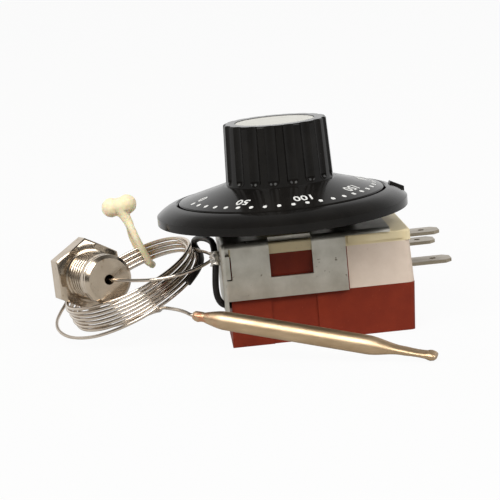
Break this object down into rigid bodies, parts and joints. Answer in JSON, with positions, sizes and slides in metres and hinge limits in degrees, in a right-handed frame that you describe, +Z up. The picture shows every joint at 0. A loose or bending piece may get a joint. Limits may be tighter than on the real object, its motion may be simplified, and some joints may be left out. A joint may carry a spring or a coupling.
{
  "type": "thermostat switch",
  "caption": "Capillary thermostat switch with fluted knob and numbered dial over a bezel, bracketed switch body, spade tabs, and a bulb on coiled capillary with sealing gland.",
  "frame": {"origin": "foot of the switch body on the spindle axis", "axes": "+Z up along the spindle towards the knob, +X towards the terminals, -Y the front with the windowed flange"},
  "size_m": [0.097, 0.0773, 0.0509],
  "materials": {
    "phenolic": "semi-gloss moulded phenolic",
    "ceramic": "unglazed steatite",
    "cream_moulding": "moulded",
    "zinc_steel": "zinc plated",
    "bush_brass": "turned",
    "black_gloss": "glossy moulded",
    "silver_cap": "satin",
    "spring_steel": "plain",
    "capsule_steel": "plain",
    "tinned_brass": "tinned",
    "nickel_brass": "nickel plated",
    "black_rubber": "plain",
    "capillary_steel": "drawn",
    "black_sleeve": "matt tubing",
    "bulb_metal": "tinned",
    "cream_rubber": "translucent"
  },
  "bodies": {
    "body": {"base_housing": "phenolic", "terminal_block": "ceramic", "housing_lid": "cream_moulding", "mounting_bracket": "zinc_steel", "end_plate": "zinc_steel", "spindle_bush": "bush_brass", "bezel": "black_gloss", "bezel_screws": "zinc_steel", "diaphragm_capsule": "capsule_steel", "guide_plate": "phenolic", "terminal_front": "tinned_brass", "terminal_rear": "tinned_brass", "terminal_common": "tinned_brass", "gland_body": "nickel_brass", "gland_packing": "black_rubber", "gland_press_ring": "nickel_brass", "capillary_coil": "capillary_steel", "capillary_inner": "capillary_steel", "sleeve_lower": "black_sleeve", "sleeve_clip": "nickel_brass", "sleeve_upper": "black_sleeve", "capillary_gland": "capillary_steel", "capillary_bulb": "capillary_steel", "bulb": "bulb_metal", "coil_tie": "cream_rubber"},
    "knob_body": {"knob": "black_gloss", "knob_cap": "silver_cap", "spindle": "zinc_steel", "spindle_clip": "spring_steel"},
    "adjuster": {"pressure_nut": "bush_brass", "range_spring": "spring_steel"},
    "arm": {"contact_arm": "tinned_brass"},
    "pin": {"push_pin": "ceramic"}
  },
  "joints": [
    {"name": "knob_turn", "type": "hinge", "parent": "body", "child": "knob_body", "pos_m": [0, 0, 0.03], "axis": [0, 0, 1], "range_deg": [-90.5, 164.5]},
    {"name": "nut_travel", "type": "slide", "parent": "body", "child": "adjuster", "axis": [0, 0, 1], "range_m": [-0.0002, 0.00036], "deforming": ["range_spring"]},
    {"name": "arm_swing", "type": "hinge", "parent": "body", "child": "arm", "pos_m": [0.0144, 0, 0.0158], "axis": [0, 1, 0], "range_deg": [0, 1.5], "stiffness_Nm_per_rad": 0.02},
    {"name": "pin_travel", "type": "slide", "parent": "body", "child": "pin", "axis": [0, 0, 1], "range_m": [0, 0.0004]}
  ],
  "couplings": [
    {"joint": "nut_travel", "follows": "knob_turn", "m_per_rad": 0.00011937},
    {"joint": "pin_travel", "follows": "arm_swing", "m_per_rad": 0.0144}
  ]
}
